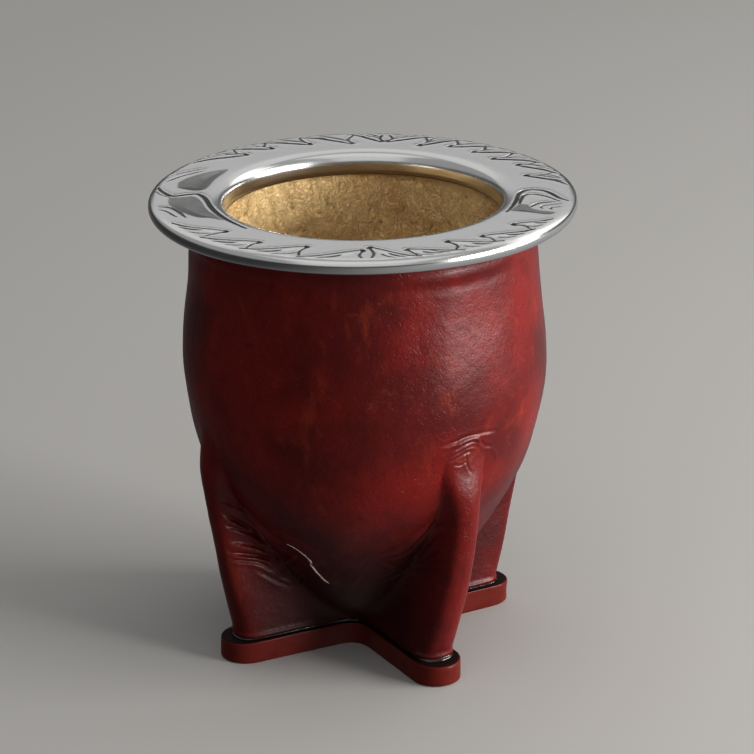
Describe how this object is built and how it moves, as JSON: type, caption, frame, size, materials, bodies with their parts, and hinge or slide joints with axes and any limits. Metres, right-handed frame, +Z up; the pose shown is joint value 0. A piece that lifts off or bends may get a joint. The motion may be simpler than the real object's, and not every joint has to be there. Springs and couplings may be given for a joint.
{
  "type": "leather-covered mate gourd cup",
  "caption": "Drinking cup made of a gourd shell in a glossy leather cover with fins, on a cross-shaped leather sole, with a wide engraved metal rim; empty.",
  "frame": {"origin": "centre of the sole's underside, on the cup's axis", "axes": "+Z up along the cup's axis, +X and +Y each along one arm of the sole and one fin"},
  "size_m": [0.09, 0.09, 0.1],
  "materials": {
    "sole_leather": "dyed cut edge, satin",
    "cover_leather": "glossy, smooth grain",
    "gourd_shell": "raw, fibrous",
    "rim_metal": "polished, engraved"
  },
  "bodies": {
    "root": {"sole": "sole_leather", "leather_cover": "cover_leather", "gourd": "gourd_shell", "metal_rim": "rim_metal"}
  },
  "joints": []
}
